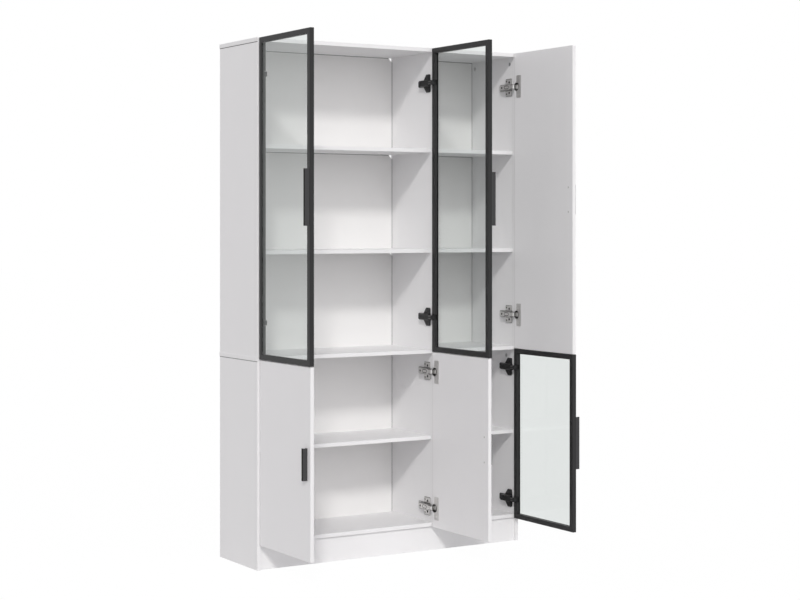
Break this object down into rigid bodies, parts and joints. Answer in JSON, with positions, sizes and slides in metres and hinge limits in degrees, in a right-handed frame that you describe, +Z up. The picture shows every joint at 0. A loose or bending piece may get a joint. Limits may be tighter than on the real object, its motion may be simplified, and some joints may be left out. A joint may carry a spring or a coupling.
{
  "type": "bookcase with glass doors",
  "caption": "Tall white bookcase of two stacked units, with black-framed glass doors and plain doors on concealed hinges.",
  "frame": {"origin": "on the floor, at the middle of the front plinth's lower face", "axes": "+X to the right as seen from the front, +Y from the front to the back, +Z up; the doors are stored open at a right angle"},
  "size_m": [1.2254, 0.7167, 2],
  "materials": {
    "white_board": "matt white laminate on particle board",
    "white_door": "matt white laminate on particle board",
    "back_sheet": "white painted thin fibreboard",
    "black_profile": "satin black extruded profile",
    "clear_glass": "clear float glass with a faint green tint",
    "black_pull": "satin black extruded channel",
    "black_steel": "black coated steel",
    "nickel_steel": "nickel plated steel",
    "zinc_cam": "plain die-cast zinc"
  },
  "bodies": {
    "carcass": {"top_panel": "white_board", "upper_side_left": "white_board", "upper_side_right": "white_board", "upper_divider": "white_board", "upper_shelf_wide_low": "white_board", "upper_shelf_wide_high": "white_board", "upper_shelf_narrow_low": "white_board", "upper_shelf_narrow_high": "white_board", "middle_board": "white_board", "lower_side_left": "white_board", "lower_side_right": "white_board", "lower_divider": "white_board", "lower_shelf_wide": "white_board", "lower_shelf_narrow": "white_board", "bottom_board": "white_board", "front_plinth": "white_board", "rear_plinth_rail": "white_board", "upper_backs_wide": "back_sheet", "upper_backs_narrow": "back_sheet", "lower_backs_wide": "back_sheet", "lower_backs_narrow": "back_sheet", "cam_locks": "zinc_cam", "black_hinge_plates": "black_steel", "black_hinge_arms": "black_steel", "nickel_hinge_plates": "nickel_steel", "nickel_hinge_arms": "nickel_steel"},
    "upper_left_door": {"upper_left_hinge_stile": "black_profile", "upper_left_free_stile": "black_profile", "upper_left_rails": "black_profile", "upper_left_pane": "clear_glass", "upper_left_pull": "black_pull", "upper_left_hinge_blocks": "black_steel", "upper_left_hinge_pins": "black_steel"},
    "upper_middle_door": {"upper_middle_hinge_stile": "black_profile", "upper_middle_free_stile": "black_profile", "upper_middle_rails": "black_profile", "upper_middle_pane": "clear_glass", "upper_middle_pull": "black_pull", "upper_middle_hinge_blocks": "black_steel", "upper_middle_hinge_pins": "black_steel"},
    "upper_right_door": {"upper_right_panel": "white_door", "upper_right_pull": "black_pull", "upper_right_hinge_cups": "nickel_steel", "upper_right_hinge_pins": "nickel_steel"},
    "lower_left_door": {"lower_left_panel": "white_door", "lower_left_pull": "black_pull", "lower_left_hinge_cups": "nickel_steel", "lower_left_hinge_pins": "nickel_steel"},
    "lower_middle_door": {"lower_middle_panel": "white_door", "lower_middle_pull": "black_pull", "lower_middle_hinge_cups": "nickel_steel", "lower_middle_hinge_pins": "nickel_steel"},
    "lower_right_door": {"lower_right_hinge_stile": "black_profile", "lower_right_free_stile": "black_profile", "lower_right_rails": "black_profile", "lower_right_pane": "clear_glass", "lower_right_pull": "black_pull", "lower_right_hinge_blocks": "black_steel", "lower_right_hinge_pins": "black_steel"}
  },
  "joints": [
    {"name": "upper_left_door_hinge", "type": "hinge", "parent": "carcass", "child": "upper_left_door", "pos_m": [-0.58566, -0.0315, 1.39538], "axis": [0, 0, 1], "range_deg": [-10, 90]},
    {"name": "upper_middle_door_hinge", "type": "hinge", "parent": "carcass", "child": "upper_middle_door", "pos_m": [0.18565, -0.0315, 1.39538], "axis": [0, 0, -1], "range_deg": [-10, 90]},
    {"name": "upper_right_door_hinge", "type": "hinge", "parent": "carcass", "child": "upper_right_door", "pos_m": [0.58566, -0.0315, 1.39538], "axis": [0, 0, -1], "range_deg": [-10, 90]},
    {"name": "lower_left_door_hinge", "type": "hinge", "parent": "carcass", "child": "lower_left_door", "pos_m": [-0.58566, -0.0315, 0.44162], "axis": [0, 0, 1], "range_deg": [-10, 90]},
    {"name": "lower_middle_door_hinge", "type": "hinge", "parent": "carcass", "child": "lower_middle_door", "pos_m": [0.18565, -0.0315, 0.44162], "axis": [0, 0, -1], "range_deg": [-10, 90]},
    {"name": "lower_right_door_hinge", "type": "hinge", "parent": "carcass", "child": "lower_right_door", "pos_m": [0.58566, -0.0315, 0.44162], "axis": [0, 0, -1], "range_deg": [-10, 90]}
  ]
}
